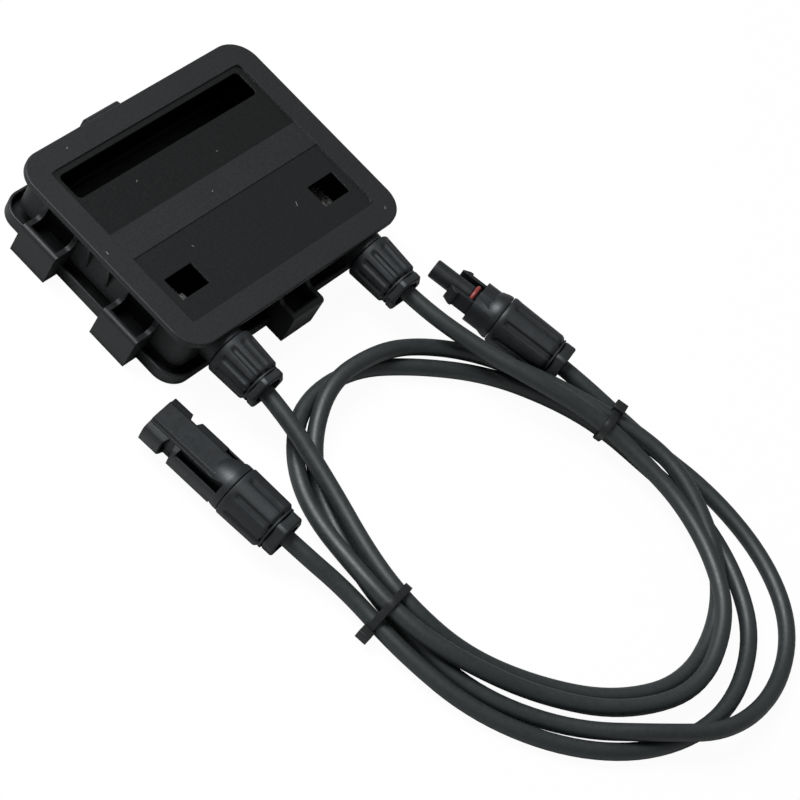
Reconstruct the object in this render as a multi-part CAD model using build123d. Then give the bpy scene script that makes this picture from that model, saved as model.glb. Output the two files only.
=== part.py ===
from build123d import *
import math
import os

os.makedirs("parts", exist_ok=True)

FLOOR = (Align.CENTER, Align.CENTER, Align.MIN)

# Millimetres. The box lies on its lid: floor at z = 0, +Y points away from the cable glands.

# Base: flange, recess, walls
flange_size = (110.0, 84.5)
flange_corner = 10.0
flange_top = 23.8
flange_thick = 2.0
flange_under = flange_top - flange_thick
recess_border = 8.8
recess_size = (flange_size[0] - 2 * recess_border, flange_size[1] - 2 * recess_border)
recess_corner = 2.5
recess_depth = 0.6
land_y = (-5.3, 5.5)
land_height = 0.3
slot_edge = 2.1
slot_wide = 10.3
slot_x = (1.7 - recess_size[0] / 2, recess_size[0] / 2 - 2.7)
slot_y = (recess_size[1] / 2 - slot_edge - slot_wide, recess_size[1] / 2 - slot_edge)
slot_corner = 1.8
slot_collar = 1.2
slot_depth = 8.6
overhang = (4.5, 4.25)
wall_size = (flange_size[0] - 2 * overhang[0], flange_size[1] - 2 * overhang[1])
wall_corner = 4.5
wall_thick = 2.0
wall_bottom = 6.0
spigot_step = 1.9
spigot_thick = 1.8

# Lid: floor, rim, locating ring, seal
lid_margin = (3.7, 3.4)
lid_size = (wall_size[0] + 2 * lid_margin[0], wall_size[1] + 2 * lid_margin[1])
lid_corner = 8.0
lid_floor = 1.8
rim_height = 5.0
rim_thick = 1.2
seal_thick = 1.2
seal_gap = 0.3
spigot_bottom = lid_floor + seal_thick + seal_gap
ring_gap = 0.4

# Latches: the lid's brackets and the base's lugs
latch_width = 15.6
latch_opening = 12.0
latch_height = 12.7
latch_ear = 19.0
latch_lip = 3.3
latch_web = 1.9
latch_wall_gap = 0.4
latch_past = 6.0
latch_reach = {"left": lid_margin[0] + latch_past, "right": lid_margin[0] + latch_past,
               "front": lid_margin[1] + latch_past + 1, "back": lid_margin[1] + latch_past + 1}
latch_spread = wall_size[1] / 2 - 19.2
side_spots = (0.85 + latch_spread, 0.85 - latch_spread)
latch_spots = {"left": side_spots, "right": side_spots, "front": (2.45,), "back": (2.45,)}
lug_gap = 0.1
lug_width = 10.6
lug_top = 8.4
lug_nose = 1.2
lug_ramp = 0.9
gusset_spots = {"left": (5.7, -3.5), "right": (5.7, -3.5)}
gusset_thick = 1.0
gusset_bottom = 9.5
web_spots = (-24.0, 17.0)
web_bottom = 8.0
web_bow = 0.9

# Cable and its entries
cable_d = 5.8
cable_r = cable_d / 2
lead_fit = 0.05
entry_x = wall_size[0] / 2 - 14.5
entry_z = 14.5
cable_start = 2.0
collar_r = 7.4
collar_length = 5.9
thread_r = 6.4
thread_fit = 0.08
neck_end = 14.0
neck_chamber = 4.0
bore_r = 3.2
seal_r = 4.5
seal_fit = 0.1
gland_nut_start = 6.4
gland_nut_size = {"length": 18.6, "ring_length": 3.7, "front_r": 8.8, "back_r": 8.0, "ring_r": 7.6}
groove_wide = 2.3
groove_deep = 0.6
groove_start = 2.4
hole_size = (13.0, 9.0)
hole_at = (entry_x, 12.7 - recess_size[1] / 2)

# Terminals inside the base
rail_bottom = 13.0
rail_thick = 1.0
rail_top = rail_bottom + rail_thick
rail_pitch = entry_x * 2 / 3
rail_width = rail_pitch / 2
rail_start = 1.0
rail_end = slot_y[0] + 0.5
arm_width = 7.5
arm_start = 11.0 - wall_size[1] / 2
post_r = 2.5
peg_r = 1.0
peg_fit = 0.05
stake_r = 1.8
stake_thick = 0.6
diode_r = 2.7
diode_length = 9.0
diode_z = 9.5
diode_y = 10.0
wire_r = 0.6
wire_reach = rail_pitch / 3
crimp_r = 2.6
crimp_back = 7.2
tab_width = 5.0
tab_thick = 0.7
tab_start = 6.5

# Connectors, measured from the tip along their own axis
nose_r = 3.5
nose_mouth_fit = 0.25
grip = 39.9
connector_end = 55.2
tail_end = grip + 3.6
barrel_length = 6.5
chamber_deep = 8.0
ring_collar_r = 7.4
socket_joint = 33.0
plug_joint = 28.0
nut_gap = 0.2
nut_ribs = 8
connector_nut_size = {"ring_length": 5.0, "front_r": 8.7, "back_r": 8.2, "ring_r": ring_collar_r}
socket_size = (14.0, 10.0)
socket_corner = 2.4

# Cable ties
tie_thick = 1.0
tie_width = 2.6
tie_fit = 0.2

# Leads: hand placed points from the gland to the connector
lead_left = [
    (-36, -40, 14.5), (-36, -66, 14.5), (-40.5, -97, 10.3), (-48, -124, 8.9), (-51, -144, 9.6),
    (-44.5, -166, 4.7), (-30.5, -188, 2.9), (-11.5, -208, 2.9), (14.5, -219, 2.9), (42.5, -213, 2.9),
    (61.5, -198, 5), (71.5, -175, 9.6), (74, -154.5, 10), (63.5, -125, 10), (54.5, -106.5, 9.5),
    (46.5, -89.5, 5.5), (30, -76.5, 5.6), (11.5, -72, 9.6), (-9.5, -71, 8.9), (-27.5, -81.5, 3.8),
    (-40.5, -97, 2.9), (-50.5, -123, 2.9), (-54.5, -146, 4.3), (-52, -176, 2.9), (-34, -205, 3.2),
    (-11.5, -226, 9.2), (9, -240.5, 9.2), (40.5, -242, 2.9), (65.5, -230.5, 2.9), (79.5, -208.5, 2.9),
    (83.5, -179, 2.9), (77, -150, 3.8), (70.5, -119, 9), (66.5, -99, 9),
]
lead_right = [
    (36, -40, 14.5), (36, -66, 14.5), (42.5, -92, 14.2), (51, -114, 15), (61.5, -134, 12),
    (65, -155, 9.4), (64.5, -176, 9), (55.5, -198, 9.3), (41, -214.5, 9.3), (14, -224.5, 6.5),
    (-15, -212.5, 5.8), (-35, -191, 5.6), (-50, -168, 9), (-57, -148, 10.6), (-56, -124, 9.6),
    (-49, -100, 4), (-38, -82.5, 2.9), (-20.5, -70, 2.9), (5.5, -70, 2.9), (27.5, -82.5, 2.9),
    (48, -99.5, 2.9), (61.5, -120, 2.9), (67, -138.5, 4.5), (70.5, -158, 2.9), (73, -180, 2.9),
    (65, -205, 2.9), (49, -225, 2.9), (19.5, -236, 2.9), (-12, -230, 2.9), (-38.5, -210.5, 2.9),
    (-56, -182, 2.9), (-61.5, -152, 4.4), (-60.5, -128, 4.6), (-66.5, -108.5, 9), (-68, -88, 9),
]


def save(shape, name):
    """Write one node."""
    export_step(shape, f"parts/{name}.step")


def block(size, corner, z0, z1):
    """Upright block with rounded corners, centred on the box."""
    return extrude(Pos(0, 0, z0) * RectangleRounded(*size, corner), z1 - z0)


def grown(size, by):
    """The size with the same amount added on every side."""
    return (size[0] + 2 * by, size[1] + 2 * by)


def span(x, y, z):
    """Plain box from three (low, high) pairs."""
    low = (x[0], y[0], z[0])
    return Pos(*low) * Box(x[1] - x[0], y[1] - y[0], z[1] - z[0], align=(Align.MIN,) * 3)


def turned(points):
    """Solid turned about local z from an (r, z) profile."""
    return revolve(make_face(Plane.XZ * Polyline(*points, close=True)), Axis.Z)


def outward(side, shift):
    """Plane standing on one wall: local x points out, local y up."""
    half_x = wall_size[0] / 2
    half_y = wall_size[1] / 2
    frames = {
        "left": ((-half_x, shift, 0), (-1, 0, 0), (0, 1, 0)),
        "right": ((half_x, -shift, 0), (1, 0, 0), (0, -1, 0)),
        "front": ((shift, -half_y, 0), (0, -1, 0), (-1, 0, 0)),
        "back": ((-shift, half_y, 0), (0, 1, 0), (1, 0, 0)),
    }
    origin, x_dir, z_dir = frames[side]
    return Plane(origin=origin, x_dir=x_dir, z_dir=z_dir)


def entry_plane(side):
    """Frame of one cable entry: z runs out of the wall along the cable, y is up."""
    origin = (side * entry_x, -wall_size[1] / 2, entry_z)
    return Plane(origin=origin, x_dir=(1, 0, 0), z_dir=(0, -1, 0))


def connector_plane(lead):
    """Frame of a connector: origin at its tip, z along the axis towards its cable."""
    end = Vector(*lead[-1])
    axis = (Vector(*lead[-2]) - end).normalized()
    across = axis.cross(Vector(0, 0, 1)) * -1
    return Plane(origin=end - axis * grip, x_dir=across, z_dir=axis)


def flange_plate():
    """Flange with its recess, ribbon slot, solder holes and raised land."""
    plate = block(flange_size, flange_corner, flange_under, flange_top)
    plate = fillet(plate.faces().sort_by(Axis.Z)[-1].edges(), 0.5)
    floor = flange_top - recess_depth
    plate -= block(recess_size, recess_corner, floor, flange_top + 1)
    plate += span((-recess_size[0] / 2, recess_size[0] / 2), land_y, (floor, floor + land_height))
    return plate


def slot_block(margin, z0, z1):
    """Block of the ribbon slot's outline, grown by margin."""
    size = (slot_x[1] - slot_x[0] + 2 * margin, slot_y[1] - slot_y[0] + 2 * margin)
    centre = (sum(slot_x) / 2, sum(slot_y) / 2, z0)
    return extrude(Pos(*centre) * RectangleRounded(*size, slot_corner + margin), z1 - z0)


def lug_profile(reach):
    """Hooked lug on the base: ramp towards the lid, flat face towards the flange."""
    nose = reach - latch_lip - lug_gap
    ramp = lug_top - lug_nose
    root = ramp - lug_ramp
    return [(-0.5, lug_top), (nose, lug_top), (nose, ramp), (0, root), (-0.5, root)]


def wall_ribs():
    """Straight gussets on the end walls and hollowed webs on the entry wall."""
    deep = (flange_size[0] - wall_size[0]) / 2 - 0.2
    ribs = []
    for side, shifts in gusset_spots.items():
        profile = Polyline((-0.5, gusset_bottom), (0, gusset_bottom), (deep, flange_under - 0.8),
                           (deep, flange_under + 0.2), (-0.5, flange_under + 0.2), close=True)
        for shift in shifts:
            face = make_face(outward(side, shift) * profile)
            ribs.append(extrude(face, gusset_thick / 2, both=True))
    deep = (flange_size[1] - wall_size[1]) / 2 - 0.2
    middle = web_bottom + 0.68 * (flange_under - web_bottom)
    curve = ThreePointArc((0, web_bottom), (web_bow, middle), (deep, flange_under))
    rest = Polyline((deep, flange_under), (deep, flange_under + 0.2), (-0.5, flange_under + 0.2),
                    (-0.5, web_bottom), (0, web_bottom))
    for side in ("front", "back"):
        for shift in web_spots:
            face = make_face(outward(side, shift) * (curve + rest))
            ribs.append(extrude(face, gusset_thick / 2, both=True))
    return ribs


def entry_neck(side):
    """Collar, threaded neck and bores of one cable entry, with the bore tool."""
    frame = entry_plane(side).location
    neck = turned([(0, -1), (collar_r, -1), (collar_r, collar_length), (thread_r, collar_length + 0.3),
                   (thread_r, neck_end - 0.6), (thread_r - 0.6, neck_end), (0, neck_end)])
    tool = turned([(0, -wall_thick - 1), (bore_r, -wall_thick - 1), (bore_r, neck_chamber),
                   (seal_r + seal_fit, neck_chamber), (seal_r + seal_fit, neck_end + 1), (0, neck_end + 1)])
    return frame * neck, frame * tool


def rail_centres():
    """X of the four contact rails."""
    return [rail_pitch * (index - 1.5) for index in range(4)]


def rail_pegs(index):
    """Places of the two heat staked pegs that hold one rail."""
    centre = rail_centres()[index]
    if index in (0, 3):
        side = math.copysign(1, centre)
        return [(side * (entry_x + 2.3), arm_start + 15), (centre, rail_end - 6)]
    return [(centre, rail_start + 3), (centre, rail_end - 5)]


def posts():
    """Posts under the flange plate with pegs and stake heads for the rails."""
    solids = []
    for index in range(4):
        for x, y in rail_pegs(index):
            high = flange_under + 0.2 - rail_top
            low = rail_thick + stake_thick
            solids.append(Pos(x, y, rail_top) * Cylinder(post_r, high, align=FLOOR))
            solids.append(Pos(x, y, rail_top - low) * Cylinder(peg_r, low, align=FLOOR))
            solids.append(Pos(x, y, rail_top - low) * Cylinder(stake_r, stake_thick, align=FLOOR))
    return solids


def base_housing():
    """Base of the box: flange, walls, entries, lugs, ribs and rail posts in one moulding."""
    inner = grown(wall_size, -wall_thick)
    body = block(wall_size, wall_corner, wall_bottom, flange_under)
    body -= block(inner, wall_corner - wall_thick, wall_bottom - 1, flange_under + 1)
    spigot = grown(wall_size, -spigot_step)
    skirt = block(spigot, wall_corner - 1, spigot_bottom, wall_bottom + 1.5)
    skirt -= block(grown(spigot, -spigot_thick), wall_corner - 2, spigot_bottom - 1, wall_bottom + 3)
    body += skirt
    body += flange_plate()
    body += slot_block(slot_collar, flange_top - slot_depth, flange_under)
    for side, shifts in latch_spots.items():
        face_profile = Polyline(*lug_profile(latch_reach[side]), close=True)
        for shift in shifts:
            face = make_face(outward(side, shift) * face_profile)
            body += extrude(face, lug_width / 2, both=True)
    body += wall_ribs()
    body += posts()
    tools = []
    for side in (-1, 1):
        neck, tool = entry_neck(side)
        body += neck
        tools.append(tool)
        x = side * hole_at[0]
        size = (hole_size[0], hole_size[1], 3 * flange_thick)
        tools.append(Pos(x, hole_at[1], flange_top - flange_thick) * Box(*size))
    body -= tools
    body -= slot_block(0, flange_top - slot_depth - 1, flange_top + 1)
    return body


def latch_bracket(side, shift):
    """Bracket of the lid: two shaped cheeks and a rounded lip that springs over the lug."""
    reach = latch_reach[side]
    round_r = latch_lip / 2
    frame = outward(side, shift)
    inner = latch_wall_gap
    ear = inner + 1.1
    corner_r = 3.0
    shoulder = latch_height - round_r
    cheek = Polyline((inner, 0), (inner, latch_ear), (ear, latch_ear), (ear, latch_height + corner_r))
    scoop = CenterArc((ear + corner_r, latch_height + corner_r), corner_r, 180, 90)
    top = Line((ear + corner_r, latch_height), (reach - round_r, latch_height))
    crown = CenterArc((reach - round_r, shoulder), round_r, 0, 90)
    rest = Polyline((reach, shoulder), (reach, 0), (inner, 0))
    cheek_face = make_face(frame * (cheek + scoop + top + crown + rest))
    lip_path = Polyline((reach - latch_web, 0), (reach - latch_web, latch_height - 4.3),
                        (reach - latch_lip, latch_height - 2.9), (reach - latch_lip, shoulder))
    lip_round = CenterArc((reach - round_r, shoulder), round_r, 0, 180)
    lip_rest = Polyline((reach, shoulder), (reach, 0), (reach - latch_web, 0))
    lip_face = make_face(frame * (lip_path + lip_round + lip_rest))
    bracket = extrude(lip_face, latch_width / 2, both=True)
    cheeks = extrude(cheek_face, latch_width / 2, both=True)
    cheeks -= extrude(frame * Pos(reach / 2, 20) * Rectangle(reach * 2, 60), latch_opening / 2, both=True)
    bracket += cheeks
    bottom = frame * Pos((inner + 2 + reach) / 2, lid_floor / 2) * Rectangle(reach - inner - 2, lid_floor)
    bracket += extrude(bottom, latch_width / 2, both=True)
    return bracket


def lid():
    """Lid: floor, rim, locating ring and six latch brackets."""
    body = block(lid_size, lid_corner, 0, lid_floor)
    body = chamfer(body.faces().sort_by(Axis.Z)[0].edges(), 0.6)
    rim = block(lid_size, lid_corner, lid_floor / 2, rim_height)
    rim -= block(grown(lid_size, -rim_thick), lid_corner - rim_thick, 0, rim_height + 1)
    rim = fillet(rim.faces().sort_by(Axis.Z)[-1].edges(), rim_thick * 0.4)
    body += rim
    inside = grown(wall_size, -spigot_step - spigot_thick - ring_gap)
    ring = block(inside, wall_corner - 2.2, lid_floor - 0.5, rim_height)
    ring -= block(grown(inside, -rim_thick), 1.2, 0, rim_height + 1)
    body += ring
    for side, shifts in latch_spots.items():
        for shift in shifts:
            body += latch_bracket(side, shift)
    return body


def lid_gasket():
    """Flat rubber seal under the base's spigot."""
    outer = grown(wall_size, -spigot_step + 0.4)
    inner = grown(wall_size, -spigot_step - spigot_thick - 0.2)
    seal = block(outer, wall_corner - 0.6, lid_floor, lid_floor + seal_thick)
    return seal - block(inner, wall_corner - 2, 0, rim_height)


def contact_rail(index):
    """Tinned strip on the posts; the outer two reach forward to the cable lugs."""
    centre = rail_centres()[index]
    z = (rail_bottom, rail_top)
    rail = span((centre - rail_width / 2, centre + rail_width / 2), (rail_start, rail_end), z)
    if index in (0, 3):
        edge = abs(centre) + rail_width / 2
        low = edge - arm_width
        x = (-edge, -low) if centre < 0 else (low, edge)
        rail += span(x, (arm_start, rail_start + 1), z)
    for x, y in rail_pegs(index):
        rail -= Pos(x, y, rail_bottom - 1) * Cylinder(peg_r + peg_fit, 3, align=FLOOR)
    return rail


def bypass_diode(x):
    """Axial diode with both wires bent up to the rails."""
    body = turned([(0, -diode_length / 2), (diode_r - 0.4, -diode_length / 2), (diode_r, -diode_length / 2 + 0.4),
                   (diode_r, diode_length / 2 - 0.4), (diode_r - 0.4, diode_length / 2), (0, diode_length / 2)])
    body = Pos(x, diode_y, diode_z) * Rot(0, 90, 0) * body
    for side in (-1, 1):
        start = (x + side * (diode_length / 2 - 0.5), diode_y, diode_z)
        bend = (x + side * wire_reach, diode_y, diode_z)
        path = FilletPolyline(start, bend, (bend[0], diode_y, rail_bottom), radius=1.5)
        body += sweep(Plane(origin=start, z_dir=(side, 0, 0)) * Circle(wire_r), path=path)
    return body


def cable_crimp(side):
    """Crimp barrel on the conductor with the flat tab that lies on the outer rail."""
    frame = entry_plane(side).location
    barrel = turned([(0, cable_start), (crimp_r, cable_start), (crimp_r, 1 - crimp_back),
                     (crimp_r - 0.8, -crimp_back), (0, -crimp_back)])
    x = side * entry_x
    y_front = tab_start - wall_size[1] / 2
    y_back = hole_at[1] + 0.25
    tab = span((x - tab_width / 2, x + tab_width / 2), (y_front, y_back), (rail_top, rail_top + tab_thick))
    return frame * barrel + tab


def clamp_seal(z0, z1):
    """Rubber sleeve squeezed onto the cable."""
    inner = cable_r + lead_fit
    bevel = 0.5
    return turned([(inner, z0), (seal_r - bevel, z0), (seal_r, z0 + bevel), (seal_r, z1 - bevel),
                   (seal_r - bevel, z1), (inner, z1)])


def clamp_cage(z0):
    """Split ring whose fingers press the seal when the nut is done up."""
    thin = seal_r + seal_fit
    cage = turned([(thin, z0), (thread_r - 0.5, z0), (thread_r - 0.5, z0 + 1.8), (4.7, z0 + 4.3),
                   (3.5, z0 + 4.3), (3.5, z0 + 3.5), (thin, z0 + 2.2)])
    for index in range(6):
        cut = Pos(4.5, 0, z0 + 3.2) * Box(6, 0.9, 4)
        cage -= Rot(0, 0, index * 60) * cut
    return cage


def clamp_nut(length, ring_length, front_r, back_r, ring_r):
    """Cap nut: rounded shoulder, broad grip ribs and a hexagon collar with an open mouth."""
    body_end = length - ring_length
    shell = turned([(0, 0), (front_r - 0.5, 0), (front_r, 0.5), (back_r, body_end - 1.2),
                    (back_r - 0.35, body_end - 0.5), (back_r - 1.1, body_end), (0, body_end)])
    low = front_r - groove_deep
    high = back_r - groove_deep
    tool = make_face(Plane.XZ * Polyline((low, groove_start), (high, body_end + 0.1), (back_r + 2, body_end + 0.1),
                                         (front_r + 2, groove_start), close=True))
    cutter = extrude(tool, groove_wide / 2, both=True)
    for index in range(nut_ribs):
        shell -= Rot(0, 0, index * 360 / nut_ribs) * cutter
    seam = 0.7
    shell += Pos(0, 0, body_end - 0.2) * Cylinder(back_r - 1.5, seam + 0.4, align=FLOOR)
    hexagon = RegularPolygon(ring_r + 0.35, 6)
    collar = extrude(Pos(0, 0, body_end + seam) * hexagon, ring_length - seam)
    collar &= turned([(0, body_end), (ring_r, body_end), (ring_r, length - 0.5), (ring_r - 0.5, length), (0, length)])
    shell += collar
    thread_end = length - ring_length - 3.3
    bore = thread_r + thread_fit
    mouth = 5.0
    throat = 3.6
    shell -= turned([(0, -1), (bore, -1), (bore, thread_end), (throat, thread_end + 3.4),
                     (throat, body_end + 1.0), (mouth, body_end + 1.0), (mouth + 0.2, length + 1), (0, length + 1)])
    return shell


def socket_shell():
    """Outside of the wide connector half: housing with cheeks, notches and side windows."""
    wide, high = socket_size
    body = extrude(RectangleRounded(wide, high, socket_corner), socket_joint - 3)
    body = chamfer(body.faces().sort_by(Axis.Z)[0].edges(), 0.6)
    body += extrude(Pos(0, high / 2 - 0.5, 0.8) * Rectangle(wide - 6.0, 1.9), 20.5)
    body += extrude(Pos(0, 0, 17) * RectangleRounded(wide + 0.9, high - 2.4, 2.2), 10.5)
    body += turned([(0, socket_joint - 7.5), (6.3, socket_joint - 7.5), (7.9, socket_joint - 4.6),
                    (7.9, socket_joint - 0.4), (7.5, socket_joint), (0, socket_joint)])
    return body


def socket_housing():
    """Connector half that takes the nose and both latch arms of the other half."""
    wide, high = socket_size
    body = socket_shell()
    notch = 1.6
    right = span((wide / 2 - notch, wide), (-high, high), (6.3, 10.6))
    left = span((-wide, notch - wide / 2), (-high, high), (9.4, 13.4))
    body -= [right, left]
    channel = 1.9
    for side in (-1, 1):
        x = side * 5.35
        body -= Pos(x, 0, -1) * Box(channel, 5.4, 28, align=FLOOR)
        body -= Pos(side * 7.5, 0.4, 15) * Box(4.3, 3.4, 11.5, align=FLOOR)
    body += neck_tail(socket_joint)
    body -= turned([(0, -1), (nose_r + nose_mouth_fit, -1), (nose_r + nose_mouth_fit, 20), (2.35, 20),
                    (2.35, grip - chamber_deep), (seal_r + seal_fit, grip - chamber_deep),
                    (seal_r + seal_fit, tail_end + 1), (0, tail_end + 1)])
    return body


def neck_tail(joint):
    """Threaded tail that carries the connector's nut."""
    return turned([(0, joint - 1), (thread_r, joint - 1), (thread_r, tail_end - 0.6),
                   (thread_r - 0.6, tail_end), (0, tail_end)])


def latch_arm(side):
    """Springy arm beside the nose, hooked at its tip."""
    profile = [(4.75, 21.0), (4.75, 10.6), (4.6, 8.0), (6.4, 8.0), (7.3, 9.0), (7.3, 10.4), (6.1, 11.4), (6.1, 21.0)]
    points = [(side * x, z) for x, z in profile]
    face = make_face(Plane.XZ * Polyline(*points, close=True))
    return extrude(face, 2.4, both=True)


def plug_housing():
    """Connector half with the round nose, two latch arms and a collared body."""
    joint = plug_joint
    body = turned([(0, 0), (nose_r - 0.5, 0), (nose_r, 0.5), (nose_r, 19), (0, 19)])
    body += turned([(0, 17.6), (5.4, 17.6), (6.7, 19.6), (7.3, 22.5), (7.9, joint - 3.4), (7.9, joint - 0.4),
                    (7.5, joint), (0, joint)])
    for side in (-1, 1):
        body += latch_arm(side)
        body -= Pos(0, side * 7.2, 21.2) * Box(1.6, 2.6, 4.6)
    body += neck_tail(joint)
    body -= turned([(nose_r - 0.7, 15.6), (nose_r + 0.3, 15.6), (nose_r + 0.3, 17.4), (nose_r - 0.7, 17.4)])
    body -= turned([(0, -1), (2.1, -1), (2.1, grip - chamber_deep), (seal_r + seal_fit, grip - chamber_deep),
                    (seal_r + seal_fit, tail_end + 1), (0, tail_end + 1)])
    return body


def plug_ring():
    """Sealing ring round the nose."""
    middle = 16.5
    ring_r = 0.85
    torus = Pos(0, 0, middle) * Torus(nose_r + ring_r - 0.65, ring_r)
    return torus


def socket_contact():
    """Pin of the socket half with its crimp barrel on the cable."""
    return turned([(0, 5), (0.8, 5), (1.2, 5.8), (1.2, 20), (2.2, 20), (2.2, grip - barrel_length - 1),
                   (crimp_r, grip - barrel_length), (crimp_r, grip), (0, grip)])


def plug_contact():
    """Tube of the plug half that the pin enters."""
    return turned([(1.3, 1.2), (2.0, 1.2), (2.0, grip - barrel_length - 1), (crimp_r, grip - barrel_length),
                   (crimp_r, grip), (0, grip), (0, 18), (1.3, 18)])


def lead_path(points):
    """Straight runs joined by tangent arcs, with the bend radii."""
    points = [Vector(*point) for point in points]
    radii = []
    for before, at, after in zip(points, points[1:], points[2:]):
        first = at - before
        second = after - at
        half = math.radians(first.get_angle(second)) / 2
        radii.append(0.45 * min(first.length, second.length) / math.tan(half))
    return FilletPolyline(*points, radius=radii), radii


def cable(path):
    """Round jacket swept along a lead."""
    start = Plane(origin=path.position_at(0), z_dir=path.tangent_at(0))
    return sweep(start * Circle(cable_r), path=path)


def strand_centres(paths, plane, reach):
    """Points, in the plane's own frame, where the leads run through it near its origin."""
    found = []
    for path in paths:
        steps = int(path.length)
        spots = [plane.to_local_coords(path.position_at(step / steps)) for step in range(steps + 1)]
        for before, after in zip(spots, spots[1:]):
            near = math.hypot(before.X, before.Y) < reach
            if near and before.Z * after.Z <= 0 and before.Z != after.Z:
                found.append(before + (after - before) * (before.Z / (before.Z - after.Z)))
    return [(spot.X, spot.Y) for spot in found]


def cable_tie(paths, plane, head):
    """Strap drawn round the strands that pass the plane, with its head."""
    centres = strand_centres(paths, plane, 25)
    loops = []
    for extra in (tie_fit, tie_fit + tie_thick):
        rings = [Pos(x, y) * Circle(cable_r + extra) for x, y in centres]
        loops.append(make_hull([edge for ring in rings for edge in ring.edges()]))
    strap = extrude(plane.location * (loops[1] - loops[0]), tie_width / 2, both=True)
    size, place = head
    block_head = extrude(plane.location * Pos(*place) * RectangleRounded(*size, 0.6), 2.1, both=True)
    inside = extrude(plane.location * loops[0], 10, both=True)
    return strap + (block_head - inside)


save(base_housing(), "base_housing")
save(lid(), "lid")
save(lid_gasket(), "lid_gasket")
for number in range(4):
    save(contact_rail(number), f"contact_rail_{number + 1}")
for number in range(3):
    save(bypass_diode(rail_pitch * (number - 1)), f"bypass_diode_{number + 1}")

left_path, left_radii = lead_path(lead_left)
right_path, right_radii = lead_path(lead_right)
for name, path, radii in (("left", left_path, left_radii), ("right", right_path, right_radii)):
    solid = cable(path)
    section = math.pi * cable_r ** 2 * path.length
    print(name, "length", round(path.length, 1), "volume ratio", round(solid.volume / section, 4))
    print(name, "radii", [round(radius) for radius in radii])
    save(solid, f"cable_{name}")

for name, side in (("left", -1), ("right", 1)):
    frame = entry_plane(side).location
    save(cable_crimp(side), f"crimp_{name}")
    save(frame * clamp_seal(6.0, neck_end + 2.0), f"gland_seal_{name}")
    save(frame * clamp_cage(neck_end + 0.1), f"gland_cage_{name}")
    save(frame * Pos(0, 0, gland_nut_start) * clamp_nut(**gland_nut_size), f"gland_nut_{name}")

halves = (
    ("socket", lead_right, socket_housing(), socket_contact(), socket_joint),
    ("plug", lead_left, plug_housing(), plug_contact(), plug_joint),
)
for name, lead, housing, contact, joint in halves:
    frame = connector_plane(lead).location
    save(frame * housing, f"{name}_housing")
    save(frame * contact, f"{name}_contact")
    save(frame * clamp_seal(grip - 3, tail_end + 2.0), f"{name}_seal")
    save(frame * clamp_cage(tail_end + 0.1), f"{name}_cage")
    nut_start = joint + nut_gap
    nut = clamp_nut(length=connector_end - nut_start, **connector_nut_size)
    save(frame * Pos(0, 0, nut_start) * nut, f"{name}_nut")
save(connector_plane(lead_left).location * plug_ring(), "plug_ring")

both = (left_path, right_path)
lower = Plane(origin=(-55.5, -140, 7), x_dir=(1, 0.1, 0), z_dir=(0.1, -1, 0))
upper = Plane(origin=(69.0, -138, 7), x_dir=(0.97, 0.24, 0), z_dir=(0.24, -0.97, 0))
save(cable_tie(both, lower, ((3.8, 3.8), (-10.9, -3.6))), "tie_lower")
save(cable_tie(both, upper, ((4.2, 2.6), (0.5, 7.8))), "tie_upper")
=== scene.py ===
import math
from functools import partial

import bmesh
import bpy
from bpy.props import FloatProperty, FloatVectorProperty, PointerProperty
from bpy.types import Operator, Panel, PropertyGroup
from mathutils import Matrix, Vector


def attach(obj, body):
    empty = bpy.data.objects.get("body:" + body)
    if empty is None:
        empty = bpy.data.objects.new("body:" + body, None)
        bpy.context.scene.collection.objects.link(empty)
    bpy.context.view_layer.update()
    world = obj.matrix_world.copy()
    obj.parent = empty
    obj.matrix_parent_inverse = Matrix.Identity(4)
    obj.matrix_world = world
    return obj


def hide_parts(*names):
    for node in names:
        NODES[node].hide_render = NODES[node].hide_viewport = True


bl_info = {
    "name": "Solar junction box",
    "version": (1, 0, 0),
    "blender": (4, 5, 0),
    "location": "3D View > Sidebar > Junction Box",
    "description": "Dresses a solar panel junction box with coiled leads and plug connectors",
    "category": "Object",
}

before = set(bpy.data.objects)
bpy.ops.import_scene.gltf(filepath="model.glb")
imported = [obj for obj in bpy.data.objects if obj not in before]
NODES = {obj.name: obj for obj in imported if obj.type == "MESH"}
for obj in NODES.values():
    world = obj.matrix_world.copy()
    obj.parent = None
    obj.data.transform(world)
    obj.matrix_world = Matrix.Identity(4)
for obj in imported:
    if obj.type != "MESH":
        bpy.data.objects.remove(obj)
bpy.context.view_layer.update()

# Route of each lead in millimetres, from the gland to its connector, as in the part's source
LEAD_LEFT = [
    (-36, -40, 14.5), (-36, -66, 14.5), (-40.5, -97, 10.3), (-48, -124, 8.9), (-51, -144, 9.6),
    (-44.5, -166, 4.7), (-30.5, -188, 2.9), (-11.5, -208, 2.9), (14.5, -219, 2.9), (42.5, -213, 2.9),
    (61.5, -198, 5), (71.5, -175, 9.6), (74, -154.5, 10), (63.5, -125, 10), (54.5, -106.5, 9.5),
    (46.5, -89.5, 5.5), (30, -76.5, 5.6), (11.5, -72, 9.6), (-9.5, -71, 8.9), (-27.5, -81.5, 3.8),
    (-40.5, -97, 2.9), (-50.5, -123, 2.9), (-54.5, -146, 4.3), (-52, -176, 2.9), (-34, -205, 3.2),
    (-11.5, -226, 9.2), (9, -240.5, 9.2), (40.5, -242, 2.9), (65.5, -230.5, 2.9), (79.5, -208.5, 2.9),
    (83.5, -179, 2.9), (77, -150, 3.8), (70.5, -119, 9), (66.5, -99, 9),
]
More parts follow.
